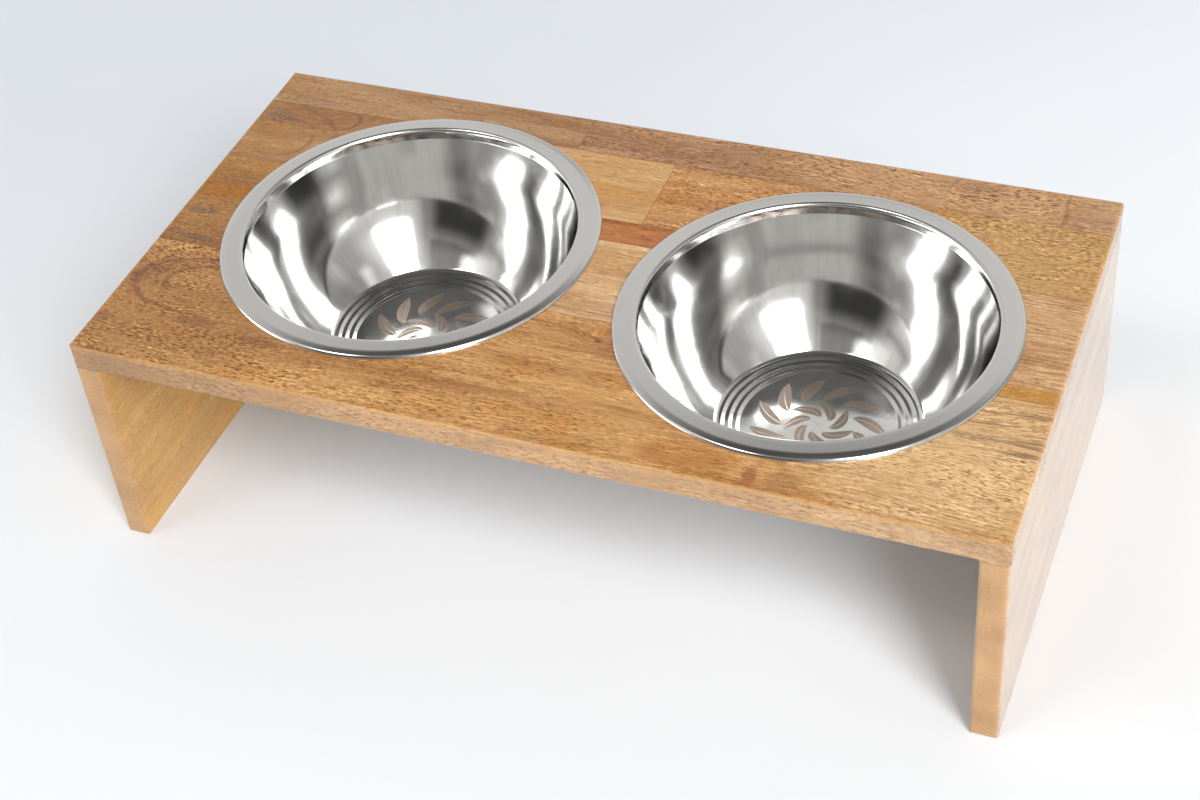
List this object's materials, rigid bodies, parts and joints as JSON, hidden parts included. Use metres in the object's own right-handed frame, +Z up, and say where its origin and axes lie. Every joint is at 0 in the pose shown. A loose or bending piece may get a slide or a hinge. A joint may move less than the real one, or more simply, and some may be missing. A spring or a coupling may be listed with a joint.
{
  "type": "raised pet feeding stand",
  "caption": "Low wooden bench with edge-glued top on board legs, holding flanged stainless steel bowls that lift out of round holes.",
  "frame": {"origin": "on the floor under the middle of the bench", "axes": "+X along the bench, +Y to its back edge, +Z up"},
  "size_m": [0.457, 0.24, 0.1306],
  "materials": {
    "wood_brown": "satin lacquer",
    "wood_golden": "satin lacquer",
    "wood_pale": "satin lacquer",
    "wood_red": "satin lacquer",
    "dowel_wood": "bare",
    "bowl_steel": "polished inside, satin flange"
  },
  "bodies": {
    "stand": {"back_stave_left": "wood_golden", "back_stave_middle": "wood_brown", "back_stave_right": "wood_brown", "rear_stave_left": "wood_brown", "rear_stave_middle": "wood_pale", "rear_stave_right": "wood_golden", "left_stave_rear": "wood_golden", "left_stave_front": "wood_brown", "middle_strip": "wood_red", "middle_stave": "wood_pale", "right_stave": "wood_golden", "front_plank": "wood_golden", "left_leg": "wood_golden", "right_leg": "wood_pale", "left_dowels": "dowel_wood", "right_dowels": "dowel_wood"},
    "left_bowl": {"left_bowl": "bowl_steel"},
    "right_bowl": {"right_bowl": "bowl_steel"}
  },
  "joints": [
    {"name": "left_bowl_lift", "type": "slide", "parent": "stand", "child": "left_bowl", "axis": [0, 0, 1], "range_m": [0, 0.08]},
    {"name": "right_bowl_lift", "type": "slide", "parent": "stand", "child": "right_bowl", "axis": [0, 0, 1], "range_m": [0, 0.08]}
  ]
}
